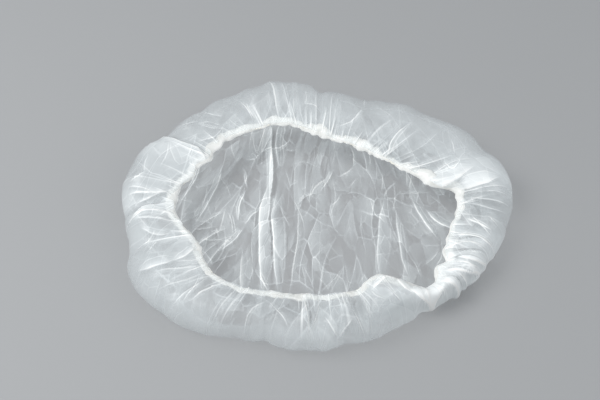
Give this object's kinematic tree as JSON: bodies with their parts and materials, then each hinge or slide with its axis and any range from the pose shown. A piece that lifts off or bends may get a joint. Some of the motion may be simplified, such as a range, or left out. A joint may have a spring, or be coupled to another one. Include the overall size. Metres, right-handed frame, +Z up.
{
  "type": "disposable shower cap",
  "caption": "Thin translucent film cap lying on its crown, mouth up: gathered hem around an elastic loop, puffed pleated side and long creases across the crown.",
  "frame": {"origin": "under the middle of the cap's outline, on the surface that it lies on", "axes": "+X along the long way across the cap, to the right in the picture's view; +Y away from the viewer; +Z up, out of the mouth"},
  "size_m": [0.2826, 0.2104, 0.0452],
  "materials": {
    "film": "thin milky polyethylene film, crumpled, whiter along its creases and at the hem",
    "elastic": "cream elastic thread, dull, inside the folded hem"
  },
  "bodies": {
    "root": {"crown_film": "film", "elastic_band": "elastic"}
  },
  "joints": []
}
